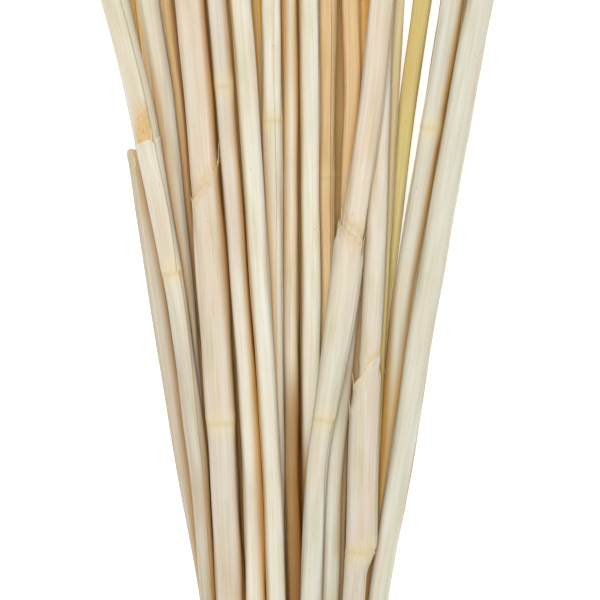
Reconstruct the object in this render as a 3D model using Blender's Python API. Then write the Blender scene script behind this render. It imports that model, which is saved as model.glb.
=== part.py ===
"""A bunch of bleached reeds, tied at the waist and lying on its side.

The bunch lies along Y, with its feet towards -Y and its fanned heads towards +Y. X is across it and
Z is up. "Up the bunch" below means from the tie towards the heads, in millimetres from the tie.
Each reed is one round stalk with its leaf sheaths on it, and is its own object. The design is worked
out in millimetres, and MM turns it into Blender's metres.
"""

import math
from collections import namedtuple

import bmesh
import bpy
import numpy as np

MM = 0.001

# The bunch, in millimetres.
FOOT_END, HEAD_END = -60.0, 300.0
FOOT_SPREAD, HEAD_SPREAD = 5.0, 13.0  # how unevenly the two ends are cut
WAIST_NARROWING = 0.9  # the width at the tie, against the width at the lowest mark
MARKS = np.array([30.0, 90.0, 150.0, 210.0])  # where each reed's place across is given
HALF_WIDTHS = {-80: 31.0, 0: 28.0, 30: 29.7, 70: 36.0, 120: 44.0, 180: 54.0, 210: 62.0, 330: 90.0}
HEIGHTS = {-80: 38.0, 0: 35.0, 30: 36.5, 90: 42.0, 150: 48.0, 210: 54.0, 330: 66.0}

# The reeds.
SIDES = 8  # of a stalk's cross-section, one of them facing straight down
STEP = 8.0  # between the levels where the reeds are kept apart
RINGS = np.array([-80.0, -30.0, 0.0, 30.0, 70.0, 120.0, 180.0, 240.0, 330.0])  # where a stalk may bend
CLEARANCE = 0.35  # between neighbouring reeds
COVER = 1.2  # how far inside the bunch's outline a covered reed stays
JOINT_SWELL, JOINT_LENGTH = 0.2, 3.5  # the ring of a growth joint
SHEATH_FOOT = 7.0  # from where the stalk starts to widen to where its sheath starts
MOUTH_TAPER = np.array([-3.0, 3.0])  # where the stalk narrows again, from its sheath's end
LEAN_SWING = 1.7  # how far a leaning sheath goes from one side to the other
SETTLING_ROUNDS, LAST_PUSHES = 900, 60

# The tie.
TWINE_RADIUS = 1.0
TWINE_GAP = 0.35  # between the twine and the reeds, and between its turns
TURNS = 3
TWINE_STEP, TWINE_SAG = 3.0, 0.09  # degrees between the path's first points, and how far it may be cut
KNOT_RADII, KNOT_RISE = (3.6, 4.6, 2.1), 1.7
TWINE_END = [(0.0, 0.0, 0.0), (3.5, 0.8, 0.0), (7.0, 2.6, -0.5), (10.0, 5.4, -1.2)]  # out, along, up

# across: place across the bunch at each of MARKS. lift: how high the reed lies in the bunch, at the
# waist and at the heads, from 0 for the lowest layer to 1 for the highest. thick: its diameter at
# each of MARKS. joints: its growth joints. sheath: where a leaf sheath starts, where it is fully
# grown, where it ends, and how much wider it makes the stalk. ends: where it is cut off, if that isn't with the rest. covered: the
# level below which other reeds cover it, so that it may also move sideways. lean: how much of the
# sheath's extra width is on the reed's right at the sheath's foot, and then on its left at its mouth.
FIELDS = "across lift thick joints sheath ends covered lean"
Reed = namedtuple("Reed", FIELDS, defaults=((), None, (None, None), MARKS[0], 0))

TOP_REEDS = [
    Reed((-23.8, -31.2, -40.0, -54.6), (0.95, 1.0), (4.8, 6.2, 6.6, 9.1), (128,)),
    Reed((-27.3, -36.9, -45.9, -54.5), (0.93, 1.0), (4.0, 4.6, 5.0, 5.0), (), None, (None, 165)),
    Reed((-18.2, -22.4, -25.9, -31.4), (1.0, 1.0), (7.8, 8.3, 8.3, 9.0), (83,), (83, 95, 156, 0.7)),
    Reed((-10.2, -13.8, -18.2, -23.1), (1.0, 1.0), (6.2, 5.6, 5.4, 6.2), (184,)),
    Reed((-3.9, -8.0, -11.7, -16.2), (1.0, 1.0), (5.7, 5.4, 6.2, 6.2), (265,)),
    Reed((3.0, 9.6, 19.5, 25.5), (1.0, 1.0), (6.2, 5.9, 6.8, 6.9), (84,), (84, 114, 141, 2.3), lean=0.5),
    Reed((9.0, 13.8, 20.4, 27.3), (0.92, 0.5), (5.6, 5.6, 5.6, 5.6), (232,)),
    Reed((15.6, 22.2, 25.2, 26.6), (1.0, 0.74), (6.2, 6.2, 6.3, 6.2), (44,), (44, 48, 101, 2.9), lean=1),
    Reed((26.1, 35.1, 45.2, 56.0), (1.0, 1.0), (6.3, 7.2, 8.5, 8.0), (8, 238)),
]

MIDDLE_REEDS = [
    Reed((-26.0, -31.0, -35.9, -44.3), (0.45, 0.85), (5.4, 5.6, 6.5, 6.1), (246,), covered=100),
    Reed((-5.1, -5.6, -6.2, -6.8), (0.76, 0.95), (4.6, 4.8, 5.2, 6.0), (174,), covered=62),
    Reed((-1.0, -1.0, -1.0, -1.6), (0.5, 0.93), (4.6, 4.5, 4.8, 4.8), (-22,)),
    Reed((4.6, 5.1, 5.1, 4.2), (0.58, 0.95), (5.0, 5.2, 6.1, 5.2), (252,), covered=52),
    Reed((21.4, 24.8, 27.7, 31.3), (0.95, 0.62), (4.4, 4.2, 4.2, 4.4), (12,)),
    Reed((21.0, 27.6, 37.8, 47.5), (0.6, 0.85), (5.2, 5.6, 6.3, 7.1), (172,), covered=84),
    Reed((27.0, 37.4, 45.9, 56.4), (0.5, 0.55), (4.2, 4.2, 4.2, 4.2), (56, 240), covered=40),
]

DEEP_REEDS = [
    Reed((-22.4, -27.4, -32.6, -39.9), (0.42, 0.58), (4.6, 4.8, 5.0, 5.0), (40,), covered=135),
    Reed((-9.0, -8.4, -9.0, -12.0), (0.5, 0.7), (4.6, 4.6, 4.6, 4.8), (-30, 228), covered=120),
    Reed((8.4, 9.9, 9.5, 10.0), (0.5, 0.72), (4.5, 4.8, 4.8, 6.4), (157,), covered=105),
    Reed((11.0, 14.4, 17.4, 16.6), (0.42, 0.6), (4.5, 4.6, 5.0, 5.1), (262,), covered=150),
    Reed((14.6, 18.2, 20.6, 20.4), (0.3, 0.42), (4.2, 4.4, 4.6, 4.6), (64,), covered=96),
    Reed((16.8, 22.3, 30.2, 38.8), (0.42, 0.55), (4.6, 4.4, 4.1, 6.0), (20, 255), covered=115),
    Reed((21.6, 29.1, 40.8, 51.6), (0.32, 0.42), (4.8, 5.0, 5.2, 5.2), (226,), covered=60),
]

# The reeds that fill the bunch under those, layer by layer: their lift at the waist and at the heads,
# their diameter, and each one's place across at the waist and at the heads. The last lies on the floor.
FILLING = [
    ((0.74, 0.74), 5.2, {-15.0: -30.0, -9.0: -20.5}),
    ((0.50, 0.48), 5.0, {-20.0: -44.5, -14.0: -31.5, -8.5: -23.0, -3.5: -15.5, 1.5: -6.5, 5.5: 2.5}),
    ((0.24, 0.24), 5.3, {-20.5: -49.0, -13.0: -37.0, -7.0: -25.0, -1.0: -12.0, 5.0: 1.5, 10.5: 14.0, 20.0: 49.5}),
    ((0.0, 0.0), 5.6, {-16.5: -43.0, -10.3: -30.5, -4.2: -18.0, 1.9: -5.5, 8.0: 7.0, 14.1: 20.5, 20.2: 46.5}),
]

STRAW = (0.86, 0.80, 0.66)
HONEY = (0.72, 0.58, 0.36)
OLIVE = (0.70, 0.66, 0.36)
OLIVE_REED = 22  # the one greenish stalk, by its number
TWINE_BROWN = (0.55, 0.42, 0.26)


def clear_scene():
    for obj in list(bpy.data.objects):
        bpy.data.objects.remove(obj, do_unlink=True)


def material(name, colour, roughness):
    made = bpy.data.materials.new(name)
    made.use_nodes = True
    shader = made.node_tree.nodes["Principled BSDF"]
    shader.inputs["Base Color"].default_value = (*colour, 1.0)
    shader.inputs["Roughness"].default_value = roughness
    shader.inputs["Metallic"].default_value = 0.0
    return made


def at_levels(table, levels):
    """A table of {level: value} read at any levels, smoothly enough for the bunch's outline."""
    return np.interp(levels, list(table), list(table.values()))


def eased(levels, start, end):
    share = np.clip((levels - start) / (end - start), 0, 1)
    return share * share * (3 - 2 * share)


def narrowing(levels):
    """The bunch's width below the lowest mark, against its width there: least at the tie."""
    low, spread = MARKS[0], 1 - WAIST_NARROWING
    return 1 - spread * np.sin(math.pi * np.clip((low - levels) / (low - FOOT_END), 0, 1)) ** 0.9


def across_of(reed, levels):
    """The reed's place across: a cubic through its marks, straight on above them, and drawn in to
    the tie below them."""
    low, high = MARKS[0], MARKS[-1]
    curve = np.polyfit(MARKS, reed.across, 3)
    place = np.polyval(curve, np.clip(levels, low, high))
    lean = (reed.across[-1] - reed.across[-2]) / (high - MARKS[-2])
    place += lean * np.clip(levels - high, 0, None)
    below = np.clip(low - levels, 0, None)
    foot_lean = np.polyval(np.polyder(curve), low)
    place *= narrowing(levels)
    return place - foot_lean * below * np.exp(-below / 18.0)


def sheath_width(reed, levels):
    """What the leaf sheath adds to the stalk's thickness."""
    if not reed.sheath:
        return np.zeros_like(levels)
    start, full, end, wider = reed.sheath
    grown = eased(levels, start - SHEATH_FOOT, full)
    return wider * grown * (1 - eased(levels, *(end + MOUTH_TAPER)))


def sheath_shift(reed, levels):
    """How far the stalk in its sheath is to the right of the stalk alone."""
    if not reed.lean:
        return np.zeros_like(levels)
    start, _, end, _ = reed.sheath
    share = np.clip((levels - start) / (end - start), 0, 1)
    return reed.lean * (1 - LEAN_SWING * share) * sheath_width(reed, levels) / 2


def radius_of(reed, levels):
    """The stalk's radius, with the step of its sheath and the swelling of its joints."""
    thick = np.interp(levels, MARKS, reed.thick) + sheath_width(reed, levels)
    for joint in reed.joints:
        thick = thick + JOINT_SWELL * np.exp(-(((levels - joint) / JOINT_LENGTH) ** 2))
    return thick / 2


def all_reeds():
    filling = [Reed(tuple(np.linspace(waist, head, len(MARKS))), lift, (thick,) * len(MARKS),
                    covered=HEAD_END)
               for lift, thick, places in FILLING for waist, head in places.items()]
    return TOP_REEDS + MIDDLE_REEDS + DEEP_REEDS + filling


def cut_ends(number, reed):
    """Where the stalk starts and ends. The fractional parts of a multiple make the ends uneven."""
    foot = FOOT_END + FOOT_SPREAD * (2 * ((number * 0.618) % 1) - 1)
    head = HEAD_END + HEAD_SPREAD * (2 * ((number * 0.382 + 0.3) % 1) - 1)
    return reed.ends[0] or foot, reed.ends[1] or head


def settle(reeds):
    """The reeds' places (across, height) at RINGS, moved until the reeds clear each other everywhere.

    The lowest layer stays on the ground, lifted a little at the waist where the tie passes under it.
    A reed that shows on top keeps its place across and moves up or down only, and one that is
    covered moves sideways too. Clearances are measured at levels closer than RINGS.
    """
    levels = np.arange(RINGS[0], RINGS[-1] + STEP, STEP)
    shares = np.array([np.interp(levels, RINGS, row) for row in np.eye(len(RINGS))])  # of each ring
    weight = np.maximum(0.4 * shares.sum(1), 1)
    before = (RINGS[1:-1] - RINGS[:-2]) / (RINGS[2:] - RINGS[:-2])

    across = np.array([across_of(reed, RINGS) for reed in reeds])
    radius = np.array([radius_of(reed, RINGS) for reed in reeds])
    lift = np.array([reed.lift[0] + (reed.lift[1] - reed.lift[0]) * eased(RINGS, 20, 230)
                     for reed in reeds])
    flat = radius * math.cos(math.pi / SIDES)  # from a stalk's middle to the side facing down
    under_tie = 2 * TWINE_RADIUS + 3 * TWINE_GAP
    ground = flat + under_tie * (RINGS == 0)

    half_width = at_levels(HALF_WIDTHS, RINGS)
    tall = at_levels(HEIGHTS, RINGS)
    arch = np.sqrt(np.clip(1 - (across / half_width) ** 2, 0.02, 1))
    top = tall / 2 + (tall / 2 - radius) * arch
    bottom = np.maximum(ground, tall / 2 - (tall / 2 - radius) * np.minimum(1, arch * 1.25))
    wanted = bottom + lift * (top - bottom)
    on_floor = len(reeds) - len(FILLING[-1][2])
    wanted[on_floor:] = ground[on_floor:]

    loose = np.array([1 - eased(RINGS, reed.covered - 12, reed.covered + 8) for reed in reeds])
    loose = np.maximum(loose, eased(RINGS, MARKS[-1], MARKS[-1] + 40))
    rank = lift.mean(1) + 1e-6 * np.arange(len(reeds))
    order = np.sign(rank[:, None] - rank[None])[..., None]
    there = np.array([levels < (reed.ends[1] or HEAD_END + HEAD_SPREAD) + STEP for reed in reeds])
    wide = np.array([radius_of(reed, levels) for reed in reeds])
    leaning = np.array([sheath_shift(reed, levels) for reed in reeds])
    need = (wide[:, None] + wide[None] + CLEARANCE) * (there[:, None] & there[None])
    need[np.arange(len(reeds)), np.arange(len(reeds))] = 0
    sideways = np.maximum((loose @ shares)[:, None], (loose @ shares)[None])
    widest = np.where(loose > 0, half_width - radius - COVER, math.inf)

    height, aim = wanted.copy(), across.copy()
    for turn in range(SETTLING_ROUNDS):
        x, z = across @ shares + leaning, height @ shares
        dx, dz = x[:, None] - x[None], z[:, None] - z[None]
        gap = np.maximum(np.hypot(dx, dz), 1e-6)
        short = np.clip(need - gap, 0, None)
        rise = np.sqrt(np.clip(need**2 - dx**2, 0, None)) - order * dz
        climb = order * np.clip(rise, 0, None) * (short > 0)
        push_z = (sideways * short * dz / gap + (1 - sideways) * climb).sum(1)
        push_x = (sideways * short * dx / gap).sum(1)
        height += 0.3 * push_z @ shares.T / weight
        across += 0.4 * loose * (push_x @ shares.T) / weight
        if turn < SETTLING_ROUNDS - LAST_PUSHES:
            height += 0.03 * (wanted - height)
            across += 0.02 * loose * (aim - across)
            for places, share in ((height, 0.2), (across, 0.2 * loose[:, 1:-1])):
                straight = places[:, :-2] + before * (places[:, 2:] - places[:, :-2])
                places[:, 1:-1] += share * (straight - places[:, 1:-1])
        height = np.maximum(height, ground)
        height[on_floor:] = ground[on_floor:]
        across = np.clip(across, -widest, widest)
    return across, height


def ring_levels(reed, foot, head):
    """Where a stalk's rings are: at its ends, where it bends, at its joints and at its sheath's mouth."""
    levels = {foot, head, *RINGS}
    for joint in reed.joints:
        levels |= {joint - JOINT_LENGTH, joint, joint + JOINT_LENGTH}
    if reed.sheath:
        start, full, end, _ = reed.sheath
        levels |= {start - SHEATH_FOOT, full, *(end + MOUTH_TAPER)}
    kept = [foot]
    for level in sorted(x for x in levels if foot < x <= head):
        if level - kept[-1] >= 2.5:
            kept.append(level)
    return np.array(kept)


def tube(name, points, radii, made_of, collection, tilt=0.0, twist="MINIMUM"):
    """A round stalk or strand along points, all in millimetres."""
    curve = bpy.data.curves.new(name, "CURVE")
    curve.dimensions = "3D"
    curve.twist_mode = twist
    curve.bevel_depth = MM
    curve.bevel_resolution = 2
    curve.use_fill_caps = True
    spline = curve.splines.new("POLY")
    spline.points.add(len(points) - 1)
    for point, place, radius in zip(spline.points, points, radii):
        point.co = (*(float(x) * MM for x in place), 1.0)
        point.radius = float(radius)
        point.tilt = tilt
    curve.materials.append(made_of)
    obj = bpy.data.objects.new(name, curve)
    collection.objects.link(obj)
    return obj


def build_reeds(collection):
    """Builds every reed, and returns the reeds' places across and heights at RINGS, and the reeds."""
    reeds = all_reeds()
    across, height = settle(reeds)
    front, deep = material("pale_reed", STRAW, 0.55), material("golden_reed", HONEY, 0.6)
    green = material("olive_reed", OLIVE, 0.6)
    shown = len(TOP_REEDS) + len(MIDDLE_REEDS)
    for number, reed in enumerate(reeds, 1):
        start, end = cut_ends(number, reed)
        rings = ring_levels(reed, start, end)
        radii = radius_of(reed, rings)
        x = np.interp(rings, RINGS, across[number - 1]) + sheath_shift(reed, rings)
        z = np.interp(rings, RINGS, height[number - 1])
        tone = green if number == OLIVE_REED else front if number <= shown else deep
        tube(f"reed_{number:02d}", np.stack([x, rings, z], 1), radii, tone, collection,
             tilt=math.pi / SIDES, twist="Z_UP")
    return across, height, reeds


def fewest_points(path, sag):
    """The path with as few of its points as keep it within sag of where it was."""
    kept = [0]
    while kept[-1] < len(path) - 1:
        start, end = kept[-1], kept[-1] + 2
        while end < len(path):
            along = path[end] - path[start]
            along /= np.linalg.norm(along)
            between = path[start + 1:end] - path[start]
            if np.linalg.norm(np.cross(between, along), axis=1).max() > sag:
                break
            end += 1
        kept.append(end - 1)
    return path[kept]


def as_mesh(obj):
    """The curve object replaced by a mesh of the same shape, closed at its caps, ready for a Boolean."""
    bpy.context.view_layer.update()
    graph = bpy.context.evaluated_depsgraph_get()
    mesh = bpy.data.meshes.new_from_object(obj.evaluated_get(graph))
    shape = bmesh.new()
    shape.from_mesh(mesh)
    bmesh.ops.remove_doubles(shape, verts=shape.verts, dist=1e-6)
    shape.to_mesh(mesh)
    shape.free()
    name, collection = obj.name, obj.users_collection[0]
    bpy.data.objects.remove(obj, do_unlink=True)
    made = bpy.data.objects.new(name, mesh)
    collection.objects.link(made)
    return made


def build_knot(place, made_of, helpers):
    """The lump of the knot across all the turns, and the two short ends that leave it."""
    lump = bmesh.new()
    bmesh.ops.create_uvsphere(lump, u_segments=12, v_segments=8, radius=MM)
    bmesh.ops.scale(lump, vec=KNOT_RADII, verts=lump.verts)
    bmesh.ops.translate(lump, vec=[x * MM for x in place], verts=lump.verts)
    mesh = bpy.data.meshes.new("knot")
    lump.to_mesh(mesh)
    lump.free()
    pieces = [bpy.data.objects.new("knot", mesh)]
    helpers.objects.link(pieces[0])
    for side in (-1, 1):
        path = [(place[0] + side * out, place[1] + side * along, place[2] + up)
                for out, along, up in TWINE_END]
        radii = [TWINE_RADIUS * 0.9] * len(path)
        pieces.append(as_mesh(tube("twine_end", path, radii, made_of, helpers)))
    for piece in pieces:
        piece.hide_render = True
        piece.display_type = "WIRE"
    return pieces


def build_tie(collection, helpers, across, height, reeds):
    """Turns of twine round the reeds' outline at the waist, and the knot that closes them on top."""
    pitch = 2 * TWINE_RADIUS + TWINE_GAP
    points = []
    for turned in np.radians(np.arange(0, 360 * TURNS + 1, TWINE_STEP)):
        angle = math.pi / 2 + turned
        out = np.array([math.cos(angle), math.sin(angle)])
        along = pitch * (turned / (2 * math.pi) - TURNS / 2)
        x, z = (np.array([np.interp(along, RINGS, row) for row in rows]) for rows in (across, height))
        reach = np.array([radius_of(reed, along) for reed in reeds]) + TWINE_GAP + TWINE_RADIUS
        touched = np.argmax(x * out[0] + z * out[1] + reach)
        place = np.array([x[touched], z[touched]]) + reach[touched] * out
        points.append((place[0], along, place[1]))
    points = fewest_points(np.array(points), TWINE_SAG)
    made_of = material("twine", TWINE_BROWN, 0.85)
    tie = as_mesh(tube("tie", points, [TWINE_RADIUS] * len(points), made_of, collection))
    knot_place = (points[0][0], 0.0, points[0][2] + KNOT_RISE)
    for piece in build_knot(knot_place, made_of, helpers):
        joining = tie.modifiers.new(piece.name, "BOOLEAN")
        joining.operation = "UNION"
        joining.object = piece


def rest_on_origin(collection, helpers):
    """Moves every object so that the bunch's box stands on the origin."""
    bpy.context.view_layer.update()
    graph = bpy.context.evaluated_depsgraph_get()
    corners = []
    for obj in collection.objects:
        mesh = obj.evaluated_get(graph).to_mesh()
        corners += [tuple(obj.matrix_world @ vertex.co) for vertex in mesh.vertices]
        obj.evaluated_get(graph).to_mesh_clear()
    low, high = np.min(corners, axis=0), np.max(corners, axis=0)
    for obj in [*collection.objects, *helpers.objects]:
        obj.location = (-(low[0] + high[0]) / 2, -(low[1] + high[1]) / 2, -low[2])


def main():
    clear_scene()
    collection = bpy.data.collections.new("bunch_of_reeds")
    bpy.context.scene.collection.children.link(collection)
    helpers = bpy.data.collections.new("shapes_joined_to_the_tie")
    bpy.context.scene.collection.children.link(helpers)
    laid_out = build_reeds(collection)
    build_tie(collection, helpers, *laid_out)
    rest_on_origin(collection, helpers)


main()
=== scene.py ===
"""A bunch of bleached reeds, tied near its foot and lying on a pale floor, seen from straight above.

Each stalk takes its line and thickness from its own CAD node, and gets its real surface here: a
softly faceted and furrowed stem, growth joints, leaf sheaths with torn mouths, and hollow cut ends.
"Up the bunch" is the distance in millimetres from the tie towards the heads. Angles round a stalk are
in degrees: 0 is its right side as the camera sees it, 90 its top and 180 its left side.
"""

import math
from collections import namedtuple

import bpy
import numpy as np
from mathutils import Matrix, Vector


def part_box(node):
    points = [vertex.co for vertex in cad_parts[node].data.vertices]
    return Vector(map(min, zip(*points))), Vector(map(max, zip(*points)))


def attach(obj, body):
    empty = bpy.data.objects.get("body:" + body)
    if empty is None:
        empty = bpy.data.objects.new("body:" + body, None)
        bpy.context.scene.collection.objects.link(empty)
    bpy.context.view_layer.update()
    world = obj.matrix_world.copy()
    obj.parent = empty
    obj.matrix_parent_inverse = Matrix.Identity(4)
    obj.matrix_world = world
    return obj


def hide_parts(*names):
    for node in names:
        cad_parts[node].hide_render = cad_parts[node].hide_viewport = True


MM = 0.001
TURN = 2 * math.pi

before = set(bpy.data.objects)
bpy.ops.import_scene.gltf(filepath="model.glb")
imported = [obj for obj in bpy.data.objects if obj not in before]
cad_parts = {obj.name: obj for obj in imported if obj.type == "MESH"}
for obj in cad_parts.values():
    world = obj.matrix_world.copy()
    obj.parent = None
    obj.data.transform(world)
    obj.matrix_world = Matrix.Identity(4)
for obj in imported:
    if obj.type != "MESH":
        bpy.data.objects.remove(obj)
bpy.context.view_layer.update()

TIE_LEVEL = (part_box("tie")[0][1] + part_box("tie")[1][1]) / 2 / MM  # where "up the bunch" is 0, along Y


# ---------------------------------------------------------------- colours

def paint(red, green, blue):
    """A colour given in 0 to 255 as the eye reads it, in the linear light that shaders use."""
    return np.array([((c / 255 + 0.055) / 1.055) ** 2.4 for c in (red, green, blue)])


IVORY = paint(236, 234, 221)
CREAM = paint(230, 226, 212)
BEIGE = paint(230, 218, 200)
ROSE = paint(223, 215, 203)
SAGE = paint(223, 224, 213)
STONE = paint(208, 201, 187)
STRAW = paint(226, 214, 174)
OLIVE = paint(220, 205, 140)
# TAN and HONEY colour the reeds deep in the bunch: partly their own colour, partly painted shade.
TAN = paint(236, 206, 158)
HONEY = paint(230, 184, 104)
# the hidden reeds' golden colour: partly their own, partly painted shade
FILL_GOLD_AND_SHADE = paint(218, 188, 128)
# painted shade: the dark brown that reeds 12 and 13 take towards their feet, where they lie deep under
# other reeds
SHADE_UMBER = paint(182, 144, 92)
PITH = paint(236, 224, 196)
LIP = paint(242, 231, 204)
BAND = paint(232, 214, 160)
SCAR = paint(219, 186, 132)
CREVICE_SHADE = paint(216, 170, 98)  # painted shade: the warm darkening a reed gets where other reeds are close
WHITE = (1.0, 1.0, 1.0)


# ---------------------------------------------------------------- the reeds

# Lengths are in millimetres. A seen stalk is built finer than a hidden one.
AROUND, AROUND_HIDDEN = 56, 22  # columns round a stalk
RING_STEP, RING_STEP_HIDDEN = 1.7, 4.0  # between its rings
JOINT_RINGS = np.array([-3, -2.2, -1.6, -1.2, -0.8, -0.4, 0, 0.4, 0.8, 1.2, 1.8, 2.6])  # from a joint
# How far below and above the middle of a torn mouth the rings are close together, and how close.
MOUTH_BELOW, MOUTH_ABOVE, MOUTH_STEP = 4, 14, 0.6
END_MARGIN, LEAST_STEP = 2.0, 0.25  # between a stalk's end and its first ring, and between two rings
FLOOR_CLEARANCE = 0.02
CREVICE_SHADE_REACH = (0.3, 3.6)  # from another reed, where the painted crevice shade is full and where it ends
WIDE, LOW = 1.10, 0.97  # a stalk's width and height, against its CAD node's
SLACK = 0.965  # how far inside its CAD node it stays
HOLLOW, HOLLOW_DEPTH = 0.58, 8.0  # the hole's share of the stalk, and how far in the wall across it is
SHEATH_THICK = 0.16
SHEATH_ROOT = 1.5  # how far below its start a sheath's lowest ring is, inside the stalk
NO_JOINT = 99.0  # stands for the distance from a growth joint where there is none

# How a CAD node is read.
LINE_MARGIN, LINE_STEP = 1.6, 2.0  # how far from its ends, and how far from each other
LINE_BLUR = 7.0  # how far its bends are spread
SHEATH_FOOT = 7.0  # from where it starts to widen to where its sheath starts
MOUTH_TAPER = np.array([-3.0, 3.0])  # where it narrows again, from its sheath's end
LEAN_SWING = 1.7  # how far a leaning sheath goes from one side of its stalk to the other
OCTAGON_AREA = 2 * math.sqrt(2)  # with a radius of 1

# foot, head: the stalk's colours at the two ends of its seen part. margin: the angle where the edge
# of its rolled sheath runs along it. lip: how high that edge stands. between: its colour between
# foot and head, if it isn't a mix of the two; where it is used, it is painted shade on a middle that
# lies deep between other reeds. wide, aside: its width against its CAD node's, and how far it is to
# the right of it. turns: where the foot's colour starts to change, and where the head's is reached.
Look = namedtuple("Look", "foot head margin lip joints sheath between wide aside turns",
                  defaults=(0, 0.0, (), None, None, WIDE, 0.0, (40, 190)))
# start, full: where the sheath grows out of the stalk, and where it is fully grown. middle, slant:
# its mouth, along the bunch, and how much higher it is on the right. wider: how much it adds to the
# diameter. torn: how ragged its mouth is. end: where the CAD node narrows again. lean: 1 if what it
# adds is all on the right.
Sheath = namedtuple("Sheath", "start full middle slant wider torn end lean", defaults=(0,))

LOOKS = {
    1: Look(STONE, CREAM, 62, 0.10, (128,), Sheath(128, 132, 168.4, 0.5, 0.0, 0.5, 168), wide=1.06),
    2: Look(STONE, STONE, 120, 0.08, wide=1.25, aside=0.45),
    3: Look(ROSE, BEIGE, 168, 0.14, (83,), Sheath(83, 95, 156.0, 6.0, 0.7, 1.8, 156)),
    4: Look(IVORY, ROSE, 20, 0.10, (184,)),
    5: Look(CREAM, IVORY, 160, 0.10, (265,)),
    6: Look(SAGE, BEIGE, 25, 0.14, (84,), Sheath(84, 114, 141.5, -2.4, 2.3, 1.5, 141, 0.5)),
    7: Look(SAGE, CREAM, 150, 0.08, (232,)),
    8: Look(ROSE, CREAM, 28, 0.16, (44,), Sheath(44, 48, 99.5, 5.5, 2.9, 0.9, 101, 1)),
    9: Look(SAGE, SAGE, 24, 0.18, (8, 238), wide=1.06),
    10: Look(BEIGE, CREAM, 15, 0.10, (246,)),
    11: Look(CREAM, IVORY, 75, 0.06, (174,)),
    # Reeds 12 and 13 are painted brown towards their feet: painted shade, where they lie deep under other
    # reeds.
    12: Look(SHADE_UMBER, IVORY, 165, 0.10, (-22,), turns=(68, 112)),
    13: Look(SHADE_UMBER, IVORY, 30, 0.08, (252,), turns=(56, 104)),
    # Reed 14's olive middle is painted shade, where it lies deep between other reeds.
    14: Look(CREAM, STRAW, 25, 0.08, (12,), None, OLIVE),
    15: Look(OLIVE, SAGE, 150, 0.08, (172,), turns=(60, 125)),
    16: Look(STONE, SAGE, 130, 0.06, (56, 240)),
    # Reeds 17 to 23 lie deep in the bunch: their golden colours are partly their own and partly painted
    # shade.
    17: Look(TAN, TAN, 100, 0.06, (40,)),
    18: Look(HONEY, HONEY, 80, 0.06, (-30, 228)),
    19: Look(TAN, TAN, 60, 0.06, (157,)),
    20: Look(TAN, TAN, 110, 0.06, (262,)),
    21: Look(TAN, HONEY, 70, 0.06, (64,)),
    22: Look(STRAW, OLIVE, 20, 0.08, (20, 255)),
    23: Look(TAN, STRAW, 95, 0.06, (226,)),
}
# The reeds that are seen come first, and of those the pale ones come first.
REED_COUNT, SEEN_REEDS, PALE_REEDS = 45, 23, 16
BROKEN_REED, SCARRED_REED, OLIVE_REED = 2, 1, 22
SCAR_LEVEL, SCAR_LENGTH, SCAR_SIDE = 168.5, 15, math.radians(80)
# reeds 3, 6 and 8 are marked above their sheath mouths: partly stain, partly painted shade
STAINED_AND_SHADED_MOUTHS = (3, 6, 8)
REED_SEED, TWINE_SEED = 4100, 77
# The grain's pattern is moved across by this for each reed's number, so that no two are alike. A
# sheath's and a splinter's are moved as for a reed with a higher number.
GRAIN_STEP = (37.0, -23.0)
SHEATH_GRAIN, SPLINTER_GRAIN = 60, 90


def eased(values, start, end):
    """A smooth step: 0 up to start, 1 from end on."""
    share = np.clip((values - start) / (end - start), 0, 1)
    return share * share * (3 - 2 * share)


def bump_at(values, place, width):
    """A smooth bump: 1 at place, and next to nothing two widths away."""
    return np.exp(-(((values - place) / width) ** 2))


def sheath_growth(sheath, levels):
    """How far a sheath has grown out of its stalk, from 0 to 1."""
    return eased(levels, sheath.start - SHEATH_FOOT, sheath.full)


def sheath_cover(sheath, levels):
    """How much of its full thickness the CAD node gives a sheath, from 0 to 1."""
    if not sheath:
        return np.zeros_like(levels)
    return sheath_growth(sheath, levels) * (1 - eased(levels, *(sheath.end + MOUTH_TAPER)))


def sheath_shift(sheath, levels):
    """How far a leaning sheath's middle is to the right of its stalk's."""
    if not sheath:
        return np.zeros_like(levels)
    share = np.clip((levels - sheath.start) / (sheath.end - sheath.start), 0, 1)
    return sheath.lean * (1 - LEAN_SWING * share) * sheath.wider / 2


def mesh_edges(obj):
    """Both ends of every edge of a CAD node, with Y counted up the bunch."""
    mesh = obj.data
    points = np.empty(len(mesh.vertices) * 3)
    mesh.vertices.foreach_get("co", points)
    edges = np.empty(len(mesh.edges) * 2, dtype=np.int32)
    mesh.edges.foreach_get("vertices", edges)
    world = np.array(obj.matrix_world)
    points = (points.reshape(-1, 3) @ world[:3, :3].T + world[:3, 3]) / MM
    points[:, 1] -= TIE_LEVEL
    return points[edges.reshape(-1, 2)].transpose(1, 0, 2)


def blurred(rows, pad):
    """Rows that are a LINE_STEP apart, each mixed with its neighbours up to pad rows away."""
    kernel = bump_at(np.arange(-pad, pad + 1) * LINE_STEP, 0, LINE_BLUR)
    kernel /= kernel.sum()
    padded = np.vstack([2 * rows[0] - rows[pad:0:-1], rows, 2 * rows[-1] - rows[-2:-pad - 2:-1]])
    return np.stack([np.convolve(column, kernel, "valid") for column in padded.T], 1)


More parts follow.
